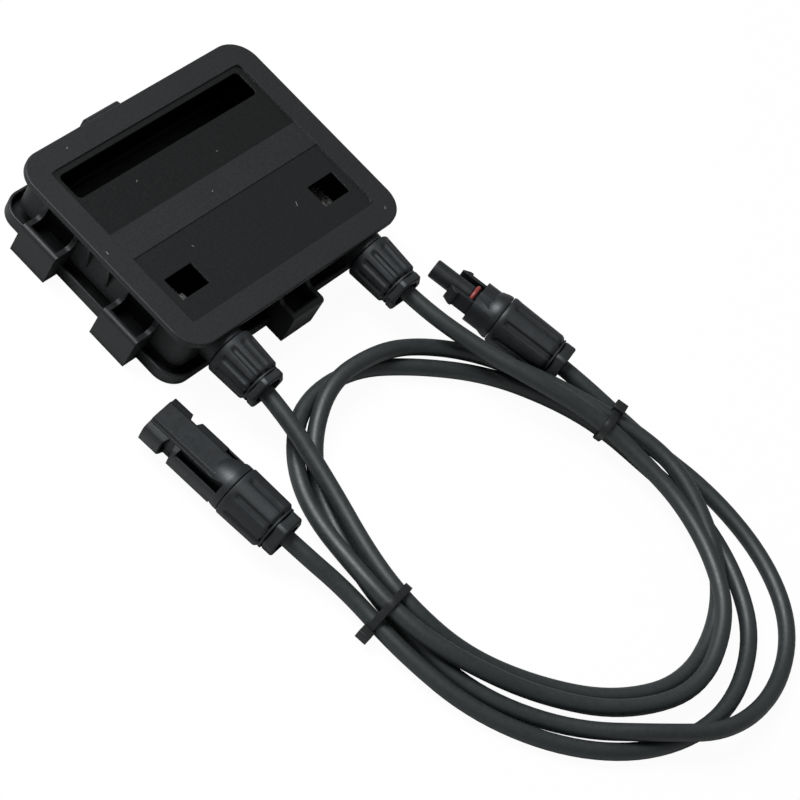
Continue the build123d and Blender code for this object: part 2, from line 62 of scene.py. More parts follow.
LEAD_RIGHT = [
    (36, -40, 14.5), (36, -66, 14.5), (42.5, -92, 14.2), (51, -114, 15), (61.5, -134, 12),
    (65, -155, 9.4), (64.5, -176, 9), (55.5, -198, 9.3), (41, -214.5, 9.3), (14, -224.5, 6.5),
    (-15, -212.5, 5.8), (-35, -191, 5.6), (-50, -168, 9), (-57, -148, 10.6), (-56, -124, 9.6),
    (-49, -100, 4), (-38, -82.5, 2.9), (-20.5, -70, 2.9), (5.5, -70, 2.9), (27.5, -82.5, 2.9),
    (48, -99.5, 2.9), (61.5, -120, 2.9), (67, -138.5, 4.5), (70.5, -158, 2.9), (73, -180, 2.9),
    (65, -205, 2.9), (49, -225, 2.9), (19.5, -236, 2.9), (-12, -230, 2.9), (-38.5, -210.5, 2.9),
    (-56, -182, 2.9), (-61.5, -152, 4.4), (-60.5, -128, 4.6), (-66.5, -108.5, 9), (-68, -88, 9),
]
MM = 0.001

# Cap nuts, in millimetres: a fluted cone, a narrow neck, then a hexagonal ring at the cable's end
GLAND_NUT = {"length": 18.6, "ring": 3.7, "front": 8.8, "back": 8.0, "collar": 7.6, "flutes": 12}
PLUG_NUT = {"length": 27.0, "ring": 5.0, "front": 9.0, "back": 8.5, "collar": 7.6, "flutes": 8}
SOCKET_NUT = {"length": 22.0, "ring": 5.0, "front": 9.0, "back": 8.7, "collar": 7.8, "flutes": 8}
GLAND_NUT_START = 44.4
NUT_GAP = 0.2
NUT_STEPS = 192
CONE_STEPS = 30
NECK = {"length": 0.7, "depth": 0.8, "wall": 0.01}
EDGE = {"depth": 0.5, "front": (-0.3, 0.6), "ring": (-0.1, 0.5)}
SHOULDER = {"length": 1.6, "depth": 1.1}
CORNER_REACH = 0.35
RING_START = (0, 0.3, 0.6)
RING_END = (0.5, 0.25, 0)
FLUTE = {"depth": 0.7, "floor": 0.45, "reach": 1.35, "start": 2.0, "full": 3.2}
NUT_BORE = {"thread": 6.48, "seat": 3.6, "relief": 5.0, "exit": 5.2, "stop": 3.3, "taper": 3.4, "lip": 1.0}

# Connector halves, in millimetres from the tip: the cable reaches in as far as GRIP
GRIP = 39.9
JOINT = {"socket": 33.0, "plug": 28.0}
ROLL = {"socket": 8, "plug": -9}
AXIS = 0.01
PAST = 1.0
THREAD = 6.4
TAIL_END = 43.5
TAIL_CHAMFER = 0.6
CHAMBER = {"radius": 4.6, "start": 31.9}

# Right half of each housing's section, as x and y
SOCKET_SECTION = [
    (3.9, 5.5), (4.3, 5.2), (4.6, 4.6), (5.2, 4.3), (6.8, 3.9), (7.5, 3.4), (7.9, 2.4), (8.0, 1.2),
    (8.0, -3.4), (7.5, -4.4), (6.4, -5.0),
]
PLUG_SECTION = [
    (2.6, 6.8), (3.6, 6.3), (4.4, 5.3), (6.4, 4.6), (7.5, 3.5), (7.9, 2.0), (7.9, -3.2), (7.3, -4.4),
    (6.2, -5.2),
]
SOCKET_LENGTH = (0, 29.5)
PLUG_LENGTH = (18.2, 27.3)

# Round stretches of the housings, as radius and distance from the tip
SOCKET_COLLAR = [(5.2, 24), (6.6, 25.6), (8.4, 30.2), (8.6, 31.4), (8.6, 32.8), (8.4, 33)]
PLUG_COLLAR = [(6.6, 22.5), (7.8, 24), (8.4, 26), (8.6, 27.2), (8.5, 27.9), (8.2, 28.1)]
PLUG_NOSE = [(3.2, 0), (3.5, 0.4), (3.5, 15.4), (2.85, 15.4), (2.85, 17.6), (3.5, 17.6), (3.5, 19)]
SOCKET_BORE = [(3.75, -PAST), (3.75, 20), (2.35, 20)]
PLUG_BORE = [(2.1, -PAST)]

# Side features: outlines as x and distance from the tip, boxes as limits in x, y and that distance
NOTCH = [(9, 7.0), (9, 12.2), (5.0, 10.8), (5.0, 8.4)]
NOTCH_REACH = 9
ARM_CHANNEL = ((4.9, 7.1), (-2.9, 2.4), (-PAST, 27.5))
FINE_GROOVE = ((5.0, 5.12), (4.1, 9), (0, 24.5))
SLOT = ((5.2, 7.1), (-2.8, 9))
LOW_RIM = ((6.8, 9), (2.8, 9))
SLOT_STARTS = {-1: 13.2, 1: 23.0}
SLOT_END = 30.4
ARM = [(4.9, 22), (4.9, 9.4), (5.5, 8.4), (7.2, 11.0), (7.2, 12.0), (6.3, 12.3), (6.3, 22)]
ARM_HALF = 3
ARM_ROOT_GAPS = (((4.5, 4.88), (-3.3, 3.3), (17, 21.5)), ((4.9, 6.4), (3.02, 3.5), (17, 21.5)))

# Rounding of the ties' edges and shading of sharp edges, in metres and radians
TIE_EDGE = 0.00045
WELD = 0.00001
FLAT = math.radians(2)
TIE_CORNER = math.radians(30)
SHARP = math.radians(32)

# Part of a noise's range that is stretched over a finish's whole range
NARROW = (0.35, 0.65)
WIDE = (0.3, 0.7)

# Edges of the zones on the base's top, in metres: limits in y of the land, half sizes of the rest; the
# zones set the finish and the painted shade
FLANGE_TOP = 0.0238
BELOW_TOP = {"recess": 0.0008, "scuffs": 0.001, "openings": 0.0012}
LAND = (-0.0053, 0.0055)
RECESS = (0.0462, 0.0334)
OPENINGS = (0.0475, 0.035)

# Latch pockets, where shade is painted inside, in metres: half width, how far out they start and how high
# they reach
POCKET = {"half": 0.006, "top": 0.0216}
SIDE_POCKET = {"spread": 0.0188, "shift": 0.00085, "outside": 0.0503}
END_POCKET = {"shift": 0.00245, "outside": 0.0378}

# Pale scuffs on the base's top: x, y, half width and half length in metres, and slope in radians
SCUFFS = (
    (-0.0220, 0.0165, 0.00012, 0.0005, 0.6), (-0.0240, -0.0120, 0.00014, 0.0004, 2.2),
    (0.0210, -0.0190, 0.00012, 0.0009, 1.1), (-0.0020, 0.0000, 0.00015, 0.0003, 0.2),
    (-0.0520, 0.0010, 0.00018, 0.0006, 1.5), (0.0480, -0.0370, 0.00014, 0.0006, 0.8),
    (0.0120, 0.0110, 0.00010, 0.0004, 2.7), (-0.0340, 0.0380, 0.00012, 0.0005, 0.3),
)

# Stage, in metres and watts
AIM = (0.0, -0.09, 0.0)
KEY_LAMP = {"place": (-0.3, 0.72, 1.15), "power": 22.0}
FILL_LAMP = {"place": (-1.1, -0.9, 0.9), "size": 1.2, "power": 0.9}
WORLD_STRENGTH = 0.22
FLOOR = {"drop": 0.0002, "grey": 0.5, "glow": 1.04, "share": 0.92}
CAMERA_PLACE = (-0.6238367, -0.2319582, 0.7224424)
CAMERA_TURN = (0.62962385, -0.40989092, -0.84809412)
CAMERA_LENS = 133.0324


class Channel:
    """A shader socket that takes part in ordinary arithmetic."""

    def __init__(self, network, socket):
        self.network = network
        self.socket = socket

    def calc(self, operation, *others):
        """One Math node on this value and others."""
        return self.network.node("Math", {"operation": operation}, [self, *others])

    def __add__(self, other):
        return self.calc("ADD", other)

    def __radd__(self, other):
        return self.calc("ADD", other)

    def __sub__(self, other):
        return self.calc("SUBTRACT", other)

    def __rsub__(self, other):
        return self.network.node("Math", {"operation": "SUBTRACT"}, [other, self])

    def __mul__(self, other):
        return self.calc("MULTIPLY", other)

    def __rmul__(self, other):
        return self.calc("MULTIPLY", other)

    def __gt__(self, other):
        return self.calc("GREATER_THAN", other)

    def __lt__(self, other):
        return self.calc("LESS_THAN", other)


class Network:
    """A node tree that is written as expressions on channels."""

    def __init__(self, tree):
        self.tree = tree

    def node(self, kind, settings=None, inputs=(), output=0):
        """Adds a node, sets it up, feeds its sockets and returns one of its outputs."""
        made = self.tree.nodes.new("ShaderNode" + kind)
        for key, value in (settings or {}).items():
            setattr(made, key, value)
        pairs = inputs.items() if isinstance(inputs, dict) else enumerate(inputs)
        for key, value in pairs:
            self.feed(made.inputs[key], value)
        return Channel(self, made.outputs[output])

    def feed(self, socket, value):
        """Links a channel to a socket, or sets its constant."""
        if isinstance(value, Channel):
            self.tree.links.new(value.socket, socket)
        elif socket.type == "RGBA":
            socket.default_value = (*value, 1.0)
        else:
            socket.default_value = value


class Finish(Network):
    """A material under construction: one Principled shader and what feeds it."""

    def __init__(self, name, roughness, specular=0.5, metallic=0.0):
        self.material = bpy.data.materials.new(name)
        self.material.use_nodes = True
        super().__init__(self.material.node_tree)
        self.shader = self.tree.nodes["Principled BSDF"]
        self.set("Roughness", roughness)
        self.set("Specular IOR Level", specular)
        self.set("Specular Tint", (0.93, 0.98, 1.0))
        self.set("Metallic", metallic)

    def set(self, socket, value):
        """Feeds one socket of the shader."""
        self.feed(self.shader.inputs[socket], value)

    def place(self):
        """Position on the piece, in metres."""
        return self.node("TexCoord", output="Object")

    def axes(self):
        """The three coordinates of the position as channels."""
        split = self.node("SeparateXYZ", inputs=[self.place()]).socket.node
        return [Channel(self, output) for output in split.outputs]

    def noise(self, size, detail=2.0, roughness=0.5):
        """Noise whose grains are about size metres across, from 0 to 1."""
        settings = {"noise_dimensions": "3D"}
        inputs = {"Vector": self.place(), "Scale": 1 / size, "Detail": detail, "Roughness": roughness}
        return self.node("TexNoise", settings, inputs)

    def remap(self, value, low, high, to_low=0.0, to_high=1.0):
        """Stretches low..high of a value onto to_low..to_high, clamped."""
        return self.node("MapRange", {"clamp": True}, [value, low, high, to_low, to_high])

    def mix(self, factor, first, second):
        """Blend of two colours."""
        settings = {"data_type": "RGBA", "clamp_factor": True}
        return self.node("Mix", settings, {"Factor": factor, 6: first, 7: second}, output=2)

    def relief(self, height, depth, edge=0.0):
        """Bump of a given depth in metres, over edges softened by a small radius."""
        inputs = {"Strength": 1.0, "Distance": depth, "Height": height}
        if edge:
            inputs["Normal"] = self.node("Bevel", {"samples": 4}, {"Radius": edge})
        self.set("Normal", self.node("Bump", inputs=inputs))

    def cavity(self, reach, low=0.35, high=0.85):
        """Mask of grooves, slots and corners narrower than reach metres."""
        open_sky = self.node("AmbientOcclusion", {"samples": 6}, {"Distance": reach}, output="AO")
        return self.remap(open_sky, low, high, 1.0, 0.0)

    def paint_shade(self, mask, strength):
        """Paints shade: takes diffuse and mirror light away where the mask is 1."""
        self.set("Metallic", mask * strength)


def tone(colour, factor):
    """The colour made darker or lighter."""
    return tuple(channel * factor for channel in colour)


def moulded_finish(name, colour, roughness, grain=0.0005, depth=0.00002, edge=0.0003, wear=0.25,
                    crease_shade=0.0):
    """Moulded plastic: fine grain, faint handling marks, soft edges and painted shade in grooves and inner
    corners.
    """
    finish = Finish(name, roughness)
    broad = finish.noise(0.012, 3.0)
    rub = finish.noise(0.0022, 4.0, 0.65)
    patch = finish.remap(broad * 0.6 + rub * 0.4, *NARROW)
    finish.set("Base Color", finish.mix(patch, tone(colour, 1 - wear / 2), tone(colour, 1 + wear)))
    finish.set("Roughness", finish.remap(rub, *WIDE, roughness - 0.06, roughness + 0.06))
    # Painted shade: ambient occlusion darkens the grooves and inner corners of the moulding
    if crease_shade:
        finish.paint_shade(finish.cavity(0.004), crease_shade)
    finish.relief(finish.noise(grain, 1.0), depth, edge)
    return finish


def scuff(x, y, half_width, half_length, slope):
    """Mask of one pale scuff: a short stroke on the base's top, from its own middle."""
    along_x = math.cos(slope)
    along_y = math.sin(slope)
    across = x * -along_y + y * along_x
    along = x * along_x + y * along_y
    return (across.calc("ABSOLUTE") < half_width) * (along.calc("ABSOLUTE") < half_length)


def base_finish(colours):
    """Base moulding: grained flange and centre land, smoother sunken faces with painted shade (darkest
    above the land), and painted shade in the openings and latch pockets.
    """
    finish = Finish("base plastic", 0.5)
    x, y, z = finish.axes()
    out_x = x.calc("ABSOLUTE")
    out_y = y.calc("ABSOLUTE")
    inside = (out_x < RECESS[0]) * (out_y < RECESS[1]) * (z > FLANGE_TOP - BELOW_TOP["recess"])
    land = (y > LAND[0]) * (y < LAND[1])
    sunk = inside * (1 - land)
    upper = sunk * (y > LAND[1])
    broad = finish.noise(0.018, 3.0)
    fine = finish.noise(0.0009, 3.0, 0.6)
    patch = finish.remap(broad, *NARROW)
    shade = finish.mix(patch, tone(colours.plastic, 0.94), tone(colours.plastic, 1.08))
    # Painted shade: the sunk faces are darker, and those above the land much darker, for the dark
    # reflections they show
    shade = finish.mix(sunk, shade, tone(colours.plastic, 0.55))
    shade = finish.mix(upper, shade, tone(colours.plastic, 0.12))
    # Painted shade: the slot and the solder holes below the top are painted near black and lose their
    # mirror light
    deep = (z < FLANGE_TOP - BELOW_TOP["openings"]) * (out_x < OPENINGS[0]) * (out_y < OPENINGS[1])
    shade = finish.mix(deep, shade, tone(colours.plastic, 0.03))
    marks = None
    for at_x, at_y, spot, length, slope in SCUFFS:
        mark = scuff(x - at_x, y - at_y, spot, length, slope)
        marks = mark if marks is None else marks.calc("MAXIMUM", mark)
    marks = marks * (z > FLANGE_TOP - BELOW_TOP["scuffs"])
    speck = finish.remap(finish.noise(0.0007, 2.0), *NARROW, 0.78, 1.3)
    shade = finish.node("VectorMath", {"operation": "MULTIPLY"}, [shade, (1 - sunk) * (speck - 1) + 1])
    finish.set("Base Color", finish.mix(marks * 0.55, shade, (0.32, 0.32, 0.31)))
    # Painted shade: the openings and the latch pockets lose their diffuse and mirror light
    finish.paint_shade(deep.calc("MAXIMUM", pocket_mask(x, y, z) * 0.75), 1.0)
    grain = finish.remap(fine, *WIDE, 0.46, 0.58)
    finish.set("Roughness", (grain - sunk * 0.12).calc("MAXIMUM", deep))
    height = finish.noise(0.00045, 1.0) * (1 - sunk * 0.85)
    finish.relief(height, 0.00003, 0.00035)
    return finish


def pocket_mask(x, y, z):
    """Mask of what lies inside the six latch pockets, where shade is painted."""
    turned_y = y * (1 - (x > 0) * 2)
    off_pair = (turned_y - SIDE_POCKET["shift"]).calc("ABSOLUTE")
    off_side = (off_pair - SIDE_POCKET["spread"]).calc("ABSOLUTE")
    side = (off_side < POCKET["half"]) * (x.calc("ABSOLUTE") > SIDE_POCKET["outside"])
    off_end = (x + ((y > 0) * 2 - 1) * END_POCKET["shift"]).calc("ABSOLUTE")
    end = (off_end < POCKET["half"]) * (y.calc("ABSOLUTE") > END_POCKET["outside"])
    return side.calc("MAXIMUM", end) * (z < POCKET["top"])


def jacket_finish(colours):
    """Cable jacket: smooth extruded rubber with long faint streaks and soft dents."""
    finish = Finish("cable jacket", 0.47, specular=0.62)
    broad = finish.noise(0.02, 3.0)
    streak = finish.noise(0.0016, 3.0, 0.6)
    patch = finish.remap(broad * 0.5 + streak * 0.5, 0.36, 0.64)
    finish.set("Base Color", finish.mix(patch, tone(colours.jacket, 0.86), tone(colours.jacket, 1.18)))
    finish.set("Roughness", finish.remap(streak, *WIDE, 0.43, 0.53))
    height = finish.noise(0.006, 2.0) * 0.7 + finish.noise(0.0008, 2.0) * 0.3
    finish.relief(height, 0.00006)
    return finish


def metal_finish(name, colour, roughness):
    """Plated copper: bright with fine rolling marks."""
    finish = Finish(name, roughness, metallic=1.0)
    rolled = finish.noise(0.0006, 3.0, 0.6)
    finish.set("Base Color", finish.mix(rolled, tone(colour, 0.8), tone(colour, 1.05)))
    finish.set("Roughness", finish.remap(rolled, *WIDE, roughness - 0.08, roughness + 0.12))
    finish.relief(finish.noise(0.0004, 1.0), 0.00002, 0.00015)
    return finish


def paint(finish, *names):
    """Gives CAD nodes one material."""
    for name in names:
        slots = NODES[name].data.materials
        slots.clear()
        slots.append(finish.material)


def both(stem):
    """A node's left and right names."""
    return f"{stem}_left", f"{stem}_right"


class BoxColours(PropertyGroup):
    """Colours of the junction box."""

    plastic: FloatVectorProperty(name="Plastic", description="Moulded plastic of the base and lid",
                                 default=(0.0094, 0.0100, 0.0108), subtype="COLOR", min=0, max=1)
    fittings: FloatVectorProperty(name="Fittings", description="Gland nuts and connector halves",
                                  default=(0.0112, 0.0130, 0.0150), subtype="COLOR", min=0, max=1)
    jacket: FloatVectorProperty(name="Jacket", description="Outer sheath of the leads",
                                default=(0.0215, 0.0262, 0.0272), subtype="COLOR", min=0, max=1)
    seal: FloatVectorProperty(name="Nose seal", description="Red sealing ring of the plug",
                              default=(0.20, 0.032, 0.030), subtype="COLOR", min=0, max=1)
    tin: FloatVectorProperty(name="Tin", description="Tinned rails and crimps",
                             default=(0.74, 0.73, 0.70), subtype="COLOR", min=0, max=1)


class BoxSizes(PropertyGroup):
    """Sizes that the dressing adds."""

    lead: FloatProperty(name="Lead diameter", description="Outside diameter of the leads",
                        default=0.0058, unit="LENGTH", min=0.003, max=0.01)
    floor: FloatProperty(name="Floor", description="Half the side of the pale floor",
                         default=6.0, unit="LENGTH", min=1, max=20)
    key: FloatProperty(name="Key lamp", description="Side of the large soft lamp",
                       default=0.7, unit="LENGTH", min=0.1, max=3)


def piece_frame(origin, axis):
    """Placement of a fitting from millimetres: z along its axis, y up, x across."""
    axis = Vector(axis).normalized()
    across = axis.cross(Vector((0, 0, 1))) * -1
    up = axis.cross(across)
    turn = Matrix((across, up, axis)).transposed().to_4x4()
    return Matrix.Translation(Vector(origin) * MM) @ turn @ Matrix.Scale(MM, 4)


def connector_frame(route):
    """Placement of a connector from its tip, on the end of a lead."""
    end = Vector(route[-1])
    axis = (Vector(route[-2]) - end).normalized()
    return piece_frame(end - axis * GRIP, axis)


def add_piece(name, vertices, faces, place, body, *nodes):
    """Mesh in its own frame, moved into place, that stands for CAD nodes of one body."""
    mesh = bpy.data.meshes.new(name)
    mesh.from_pydata(vertices, [], faces)
    mesh.transform(place)
    mesh.polygons.foreach_set("use_smooth", [True] * len(mesh.polygons))
    mesh.set_sharp_from_angle(angle=SHARP)
    piece = bpy.data.objects.new(name, mesh)
    bpy.context.scene.collection.objects.link(piece)
    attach(piece, body)
    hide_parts(*nodes)
    return piece


def ease(value, low, high):
    """Smooth step from 0 at low to 1 at high."""
    t = min(max((value - low) / (high - low), 0.0), 1.0)
    return t * t * (3 - 2 * t)


def turned(stations, steps=72):
    """Vertices and faces of a closed skin about z, from stations of a radius and a z.

    A radius may be a function of the angle.
    """
    angles = [2 * math.pi * step / steps for step in range(steps)]
    vertices = []
    for radius, z in stations:
        for angle in angles:
            reach = radius(angle) if callable(radius) else radius
            vertices.append((reach * math.cos(angle), reach * math.sin(angle), z))
    faces = []
    for ring in range(len(stations)):
        this = ring * steps
        after = (ring + 1) % len(stations) * steps
        for step in range(steps):
            beside = (step + 1) % steps
            faces.append((this + step, this + beside, after + beside, after + step))
    return vertices, faces


def nut_radius(size, z, angle):
    """Outside radius of a cap nut: fluted cone, neck, then a hexagon with rounded corners."""
    body_end = size["length"] - size["ring"]
    if z > body_end + NECK["length"] - NECK["wall"]:
        turn = angle % (math.pi / 3) - math.pi / 6
        flat = (size["collar"] + CORNER_REACH) * math.cos(math.pi / 6) / math.cos(turn)
        lip = min(z - body_end - NECK["length"], size["length"] - z)
        return min(flat, size["collar"]) - EDGE["depth"] * (1 - ease(lip, *EDGE["ring"]))
    if z > body_end:
        return size["back"] - NECK["depth"]
    radius = size["front"] + (size["back"] - size["front"]) * z / body_end
    radius -= EDGE["depth"] * (1 - ease(z, *EDGE["front"]))
    radius -= SHOULDER["depth"] * ease(z, body_end - SHOULDER["length"], body_end) ** 2
    pitch = 2 * math.pi / size["flutes"]
    off = abs((angle + pitch / 2) % pitch - pitch / 2) * radius
    flute = 1 - ease(off, FLUTE["floor"], FLUTE["reach"])
    return radius - FLUTE["depth"] * flute * ease(z, FLUTE["start"], FLUTE["full"])


def cap_nut(name, size, place, body):
    """Cap nut as one closed skin: the fluted outside, then the stepped bore back to the front."""
    length = size["length"]
    body_end = length - size["ring"]
    thread_end = body_end - NUT_BORE["stop"]
    seat_start = thread_end + NUT_BORE["taper"]
    relief_start = body_end + NUT_BORE["lip"]
    outside = [body_end * step / CONE_STEPS for step in range(CONE_STEPS + 1)]
    outside += [body_end + NECK["wall"], body_end + NECK["length"] - NECK["wall"]]
    outside += [body_end + NECK["length"] + past for past in RING_START]
    outside += [length - before for before in RING_END]
    skin = [(partial(nut_radius, size, z), z) for z in outside]
    skin += [(NUT_BORE["exit"], length), (NUT_BORE["relief"], relief_start)]
    skin += [(NUT_BORE["seat"], relief_start), (NUT_BORE["seat"], seat_start)]
    skin += [(NUT_BORE["thread"], thread_end), (NUT_BORE["thread"], 0)]
    return add_piece(name, *turned(skin, NUT_STEPS), place, body, body)


def softened(name):
    """Copy of a moulded node with its edges rounded, shown in its place."""
    node = NODES[name]
    work = bmesh.new()
    work.from_mesh(node.data)
    bmesh.ops.remove_doubles(work, verts=work.verts, dist=WELD)
    bmesh.ops.dissolve_limit(work, angle_limit=FLAT, verts=work.verts, edges=work.edges)
    inner = [edge for edge in work.edges if len(edge.link_faces) == 2]
    edges = [edge for edge in inner if edge.calc_face_angle() > TIE_CORNER]
    bmesh.ops.bevel(work, geom=edges, offset=TIE_EDGE, segments=3, profile=0.5, affect="EDGES",
                    clamp_overlap=True)
    mesh = bpy.data.meshes.new(f"dressed_{name}")
    work.to_mesh(mesh)
    work.free()
    for polygon in mesh.polygons:
        polygon.use_smooth = True
    piece = bpy.data.objects.new(f"dressed_{name}", mesh)
    piece.matrix_world = node.matrix_world
    bpy.context.scene.collection.objects.link(piece)
    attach(piece, "housing")
    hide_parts(name)
    return piece


def loose_solid(vertices, faces):
    """Unplaced object of some vertices and faces, with its faces turned outwards."""
    mesh = bpy.data.meshes.new("loose_solid")
    mesh.from_pydata(vertices, [], faces)
    work = bmesh.new()
    work.from_mesh(mesh)
    bmesh.ops.recalc_face_normals(work, faces=work.faces)
    work.to_mesh(mesh)
    work.free()
    solid = bpy.data.objects.new("loose_solid", mesh)
    bpy.context.scene.collection.objects.link(solid)
    return solid


def carved(parts, cuts):
    """Vertices and faces of the first shape joined with the others, less every cut."""
    body = loose_solid(*parts[0])
    tools = []
    for operation, shapes in (("UNION", parts[1:]), ("DIFFERENCE", cuts)):
        for shape in shapes:
            tool = loose_solid(*shape)
            modifier = body.modifiers.new("carve", "BOOLEAN")
            modifier.operation = operation
            modifier.object = tool
            modifier.solver = "EXACT"
            tools.append(tool)
    graph = bpy.context.evaluated_depsgraph_get()
    result = body.evaluated_get(graph).to_mesh()
    vertices = [tuple(vertex.co) for vertex in result.vertices]
    faces = [tuple(polygon.vertices) for polygon in result.polygons]
    for loose in (body, *tools):
        mesh = loose.data
        bpy.data.objects.remove(loose)
        bpy.data.meshes.remove(mesh)
    return vertices, faces


def prism(outline, low, high):
    """An outline in x and y pushed along z."""
    count = len(outline)
    vertices = [(x, y, z) for z in (low, high) for x, y in outline]
    sides = [(at, (at + 1) % count, count + (at + 1) % count, count + at) for at in range(count)]
    return vertices, [tuple(range(count))[::-1], tuple(range(count, 2 * count)), *sides]


def side_plate(outline, side, half):
    """An outline in x and z on one side of a connector, pushed along y both ways from its middle."""
    vertices, faces = prism([(side * x, z) for x, z in outline], half, -half)
    return [(x, y, z) for x, z, y in vertices], faces


def side_box(side, x, y, z):
    """A box on one side of a connector, from its low and high x, y and z."""
    outline = [(x[0], y[0]), (x[1], y[0]), (x[1], y[1]), (x[0], y[1])]
    return prism([(side * across, up) for across, up in outline], *z)


def section_bar(half_section, low, high):
    """A bar of a symmetrical section, given by its right half."""
    left_half = [(-x, y) for x, y in reversed(half_section)]
    return prism(half_section + left_half, low, high)


def round_bar(*profile):
    """A solid turned from radii and distances from the tip, closed on its axis."""
    return turned([(AXIS, profile[0][1]), *profile, (AXIS, profile[-1][1])])


def threaded_tail(joint):
    """Tail of a connector, from just inside its collar to its chamfered end."""
    chamfer_r = THREAD - TAIL_CHAMFER
    return round_bar((THREAD, joint - PAST), (THREAD, TAIL_END - TAIL_CHAMFER), (chamfer_r, TAIL_END))


def stepped_bore(mouth):
    """Bore of a connector: its mouth, then the wide chamber of the seal and the cage."""
    narrow = (mouth[-1][0], CHAMBER["start"])
    chamber = [(CHAMBER["radius"], at) for at in (CHAMBER["start"], TAIL_END + PAST)]
    return round_bar(*mouth, narrow, *chamber)


def socket_shape():
    """Wide connector half: spine between two shoulders, notches, side slots and a round collar."""
    shell = [section_bar(SOCKET_SECTION, *SOCKET_LENGTH)]
    shell.append(round_bar(*SOCKET_COLLAR))
    shell.append(threaded_tail(JOINT["socket"]))
    cuts = [stepped_bore(SOCKET_BORE)]
    for side, slot_start in SLOT_STARTS.items():
        slot = (slot_start, SLOT_END)
        cuts.append(side_plate(NOTCH, side, NOTCH_REACH))
        cuts.append(side_box(side, *ARM_CHANNEL))
        cuts.append(side_box(side, *SLOT, slot))
        cuts.append(side_box(side, *LOW_RIM, slot))
        cuts.append(side_box(side, *FINE_GROOVE))
    return carved(shell, cuts)


def plug_shape():
    """Narrow connector half: nose, two hooked arms, a thick body and a round collar."""
    shell = [round_bar(*PLUG_NOSE), section_bar(PLUG_SECTION, *PLUG_LENGTH)]
    shell.append(round_bar(*PLUG_COLLAR))
    shell.append(threaded_tail(JOINT["plug"]))
    shell += [side_plate(ARM, side, ARM_HALF) for side in (-1, 1)]
    cuts = [stepped_bore(PLUG_BORE)]
    for side in (-1, 1):
        cuts += [side_box(side, *gap) for gap in ARM_ROOT_GAPS]
    return carved(shell, cuts)


class JBOX_OT_housing(Operator):
    """Finish the base and the lid"""

    bl_idname = "jbox.housing"
    bl_label = "Housing"

    def execute(self, context):
        colours = context.scene.jbox_colours
        paint(base_finish(colours), "base_housing")
        paint(moulded_finish("lid plastic", colours.plastic, 0.46, crease_shade=0.7), "lid")
        rubber = moulded_finish("seal rubber", (0.012, 0.012, 0.012), 0.7, edge=0.0002)
        paint(rubber, "lid_gasket", *both("gland_seal"), "socket_seal", "plug_seal")
        return {"FINISHED"}


def nut_places():
    """Name, sizes and placement of each cap nut."""
    places = []
    for side, route in (("left", LEAD_LEFT), ("right", LEAD_RIGHT)):
        x, _, z = route[0]
        place = piece_frame((x, -GLAND_NUT_START, z), (0, -1, 0))
        places.append((f"gland_nut_{side}", GLAND_NUT, place))
    for half, size, route in (("plug", PLUG_NUT, LEAD_LEFT), ("socket", SOCKET_NUT, LEAD_RIGHT)):
        start = Matrix.Translation((0, 0, JOINT[half] + NUT_GAP))
        places.append((f"{half}_nut", size, connector_frame(route) @ start))
    return places


class JBOX_OT_fittings(Operator):
    """Finish the gland nuts and the connector halves"""

    bl_idname = "jbox.fittings"
    bl_label = "Fittings"

    def execute(self, context):
        colours = context.scene.jbox_colours
        plastic = moulded_finish("nut plastic", colours.fittings, 0.5, wear=0.35, crease_shade=0.8)
        for name, size, place in nut_places():
            nut = cap_nut(f"dressed_{name}", size, place, name)
            nut.data.materials.append(plastic.material)
        shell = moulded_finish("connector plastic", colours.fittings, 0.44, wear=0.3, crease_shade=0.8)
        halves = (("socket", socket_shape(), LEAD_RIGHT), ("plug", plug_shape(), LEAD_LEFT))
        for name, shape, route in halves:
            place = connector_frame(route) @ Matrix.Rotation(math.radians(ROLL[name]), 4, "Z")
            half = add_piece(f"dressed_{name}_housing", *shape, place, "housing", f"{name}_housing")
            half.data.materials.append(shell.material)
        cages = moulded_finish("cage plastic", (0.03, 0.03, 0.03), 0.5)
        paint(cages, *both("gland_cage"), "socket_cage", "plug_cage")
        ring = moulded_finish("nose seal", colours.seal, 0.42, wear=0.4, edge=0)
        paint(ring, "plug_ring")
        return {"FINISHED"}


class JBOX_OT_terminals(Operator):
    """Finish the tinned rails, crimps, contacts and diodes inside"""

    bl_idname = "jbox.terminals"
    bl_label = "Terminals"

    def execute(self, context):
        colours = context.scene.jbox_colours
        tin = metal_finish("tinned copper", tuple(colours.tin), 0.32)
        rails = [f"contact_rail_{number}" for number in (1, 2, 3, 4)]
        paint(tin, *rails, *both("crimp"), "socket_contact", "plug_contact")
        diode = moulded_finish("diode resin", (0.008, 0.008, 0.008), 0.3, edge=0.0002)
        paint(diode, *[f"bypass_diode_{number}" for number in (1, 2, 3)])
        return {"FINISHED"}


class JBOX_OT_ties(Operator):
    """Finish the two cable ties"""

    bl_idname = "jbox.ties"
    bl_label = "Cable ties"

    def execute(self, context):
        nylon = moulded_finish("tie nylon", (0.0100, 0.0108, 0.0112), 0.45, edge=0.0002)
        for name in ("tie_lower", "tie_upper"):
            tie = softened(name)
            tie.data.materials.append(nylon.material)
        return {"FINISHED"}


def lead_curve(name, route, diameter):
    """A round jacket along a route, as one smooth spline."""
    curve = bpy.data.curves.new(name, "CURVE")
    curve.dimensions = "3D"
    curve.bevel_depth = diameter / 2
    curve.bevel_resolution = 7
    curve.resolution_u = 8
    curve.use_fill_caps = True
    spline = curve.splines.new("NURBS")
    spline.points.add(len(route) - 1)
    for point, place in zip(spline.points, route):
        point.co = (*(MM * value for value in place), 1.0)
    spline.order_u = 3
    spline.use_endpoint_u = True
    lead = bpy.data.objects.new(name, curve)
    bpy.context.scene.collection.objects.link(lead)
    return lead


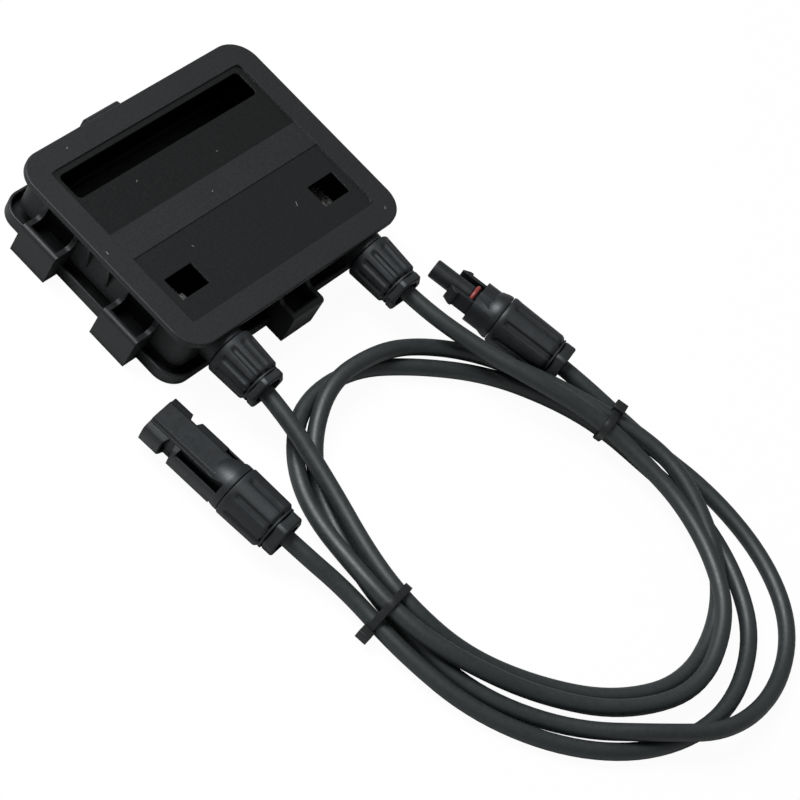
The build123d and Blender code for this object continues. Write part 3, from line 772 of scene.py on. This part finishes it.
class JBOX_OT_leads(Operator):
    """Lay the two leads along their routes"""

    bl_idname = "jbox.leads"
    bl_label = "Leads"

    def execute(self, context):
        colours = context.scene.jbox_colours
        diameter = context.scene.jbox_sizes.lead
        finish = jacket_finish(colours)
        for side, route, half in (("left", LEAD_LEFT, "plug"), ("right", LEAD_RIGHT, "socket")):
            lead = lead_curve(f"lead_{side}", route, diameter)
            lead.data.materials.append(finish.material)
            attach(lead, "housing")
            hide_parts(f"cable_{side}")
            inner = [f"{half}_contact", f"{half}_seal", f"{half}_cage"]
            dressed = [f"{half}_housing", f"{half}_nut"]
            if half == "plug":
                inner.append("plug_ring")
                dressed += ["tie_lower", "tie_upper"]
            pieces = [NODES[name] for name in inner]
            pieces += [bpy.data.objects[f"dressed_{name}"] for name in dressed]
        return {"FINISHED"}


def floor_finish():
    """White floor that the camera sees as white, with the object's soft shadow kept."""
    finish = Finish("studio floor", 0.9, specular=0.0)
    finish.set("Base Color", (FLOOR["grey"],) * 3)
    white = finish.node("Emission", inputs={"Color": (1, 1, 1), "Strength": FLOOR["glow"]})
    camera = finish.node("LightPath", output="Is Camera Ray")
    matt = Channel(finish, finish.shader.outputs[0])
    blend = finish.node("MixShader", inputs=[camera * FLOOR["share"], matt, white])
    finish.feed(finish.tree.nodes["Material Output"].inputs["Surface"], blend)
    return finish


def soft_lamp(name, place, size, power):
    """A square soft lamp aimed at the middle of the object."""
    light = bpy.data.lights.new(name, "AREA")
    light.shape = "SQUARE"
    light.size = size
    light.energy = power
    lamp = bpy.data.objects.new(name, light)
    lamp.location = place
    lamp.rotation_euler = (Vector(AIM) - Vector(place)).to_track_quat("-Z", "Y").to_euler()
    bpy.context.scene.collection.objects.link(lamp)


def world_light(strength):
    """Even pale surroundings, white where the camera looks past the floor."""
    world = bpy.data.worlds.new("studio")
    world.use_nodes = True
    network = Network(world.node_tree)
    back = world.node_tree.nodes["Background"]
    camera = network.node("LightPath", output="Is Camera Ray")
    network.feed(back.inputs["Color"], (1, 1, 1))
    network.feed(back.inputs["Strength"], camera * (1 - strength) + strength)
    bpy.context.scene.world = world


class JBOX_OT_stage(Operator):
    """Set up the floor, the lamps and the camera"""

    bl_idname = "jbox.stage"
    bl_label = "Stage"

    def execute(self, context):
        scene = context.scene
        sizes = scene.jbox_sizes
        half = sizes.floor
        mesh = bpy.data.meshes.new("studio_floor")
        corners = [(-half, -half, 0), (half, -half, 0), (half, half, 0), (-half, half, 0)]
        mesh.from_pydata(corners, [], [(0, 1, 2, 3)])
        mesh.materials.append(floor_finish().material)
        floor = bpy.data.objects.new("studio_floor", mesh)
        floor.location.z = -FLOOR["drop"]
        scene.collection.objects.link(floor)
        soft_lamp("key_lamp", KEY_LAMP["place"], sizes.key, KEY_LAMP["power"])
        soft_lamp("fill_lamp", FILL_LAMP["place"], FILL_LAMP["size"], FILL_LAMP["power"])
        world_light(WORLD_STRENGTH)
        data = bpy.data.cameras.new("photo_camera")
        data.sensor_width = 36.0
        data.lens = CAMERA_LENS
        data.clip_start = 0.05
        data.clip_end = 50
        camera = bpy.data.objects.new("photo_camera", data)
        camera.location = CAMERA_PLACE
        camera.rotation_euler = CAMERA_TURN
        scene.collection.objects.link(camera)
        scene.camera = camera
        scene.view_settings.view_transform = "Standard"
        return {"FINISHED"}


class JBOX_PT_panel(Panel):
    """Lists the junction box's pieces, sizes and colours"""

    bl_idname = "JBOX_PT_panel"
    bl_label = "Junction Box"
    bl_space_type = "VIEW_3D"
    bl_region_type = "UI"
    bl_category = "Junction Box"

    def draw(self, context):
        layout = self.layout
        for group in (context.scene.jbox_colours, context.scene.jbox_sizes):
            for name in group.bl_rna.properties.keys():
                if name not in ("rna_type", "name"):
                    layout.prop(group, name)
        for operator in OPERATORS:
            layout.operator(operator.bl_idname)


OPERATORS = (
    JBOX_OT_housing, JBOX_OT_fittings, JBOX_OT_terminals, JBOX_OT_ties, JBOX_OT_leads, JBOX_OT_stage,
)
CLASSES = (BoxColours, BoxSizes, *OPERATORS, JBOX_PT_panel)


def register():
    """Registers the classes and the settings."""
    for cls in CLASSES:
        bpy.utils.register_class(cls)
    bpy.types.Scene.jbox_colours = PointerProperty(type=BoxColours)
    bpy.types.Scene.jbox_sizes = PointerProperty(type=BoxSizes)


def unregister():
    """Removes the settings and the classes."""
    del bpy.types.Scene.jbox_sizes
    del bpy.types.Scene.jbox_colours
    for cls in reversed(CLASSES):
        bpy.utils.unregister_class(cls)


def main():
    """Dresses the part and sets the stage."""
    register()
    bpy.ops.jbox.housing()
    bpy.ops.jbox.fittings()
    bpy.ops.jbox.terminals()
    bpy.ops.jbox.ties()
    bpy.ops.jbox.leads()
    bpy.ops.jbox.stage()


if __name__ == "__main__":
    main()
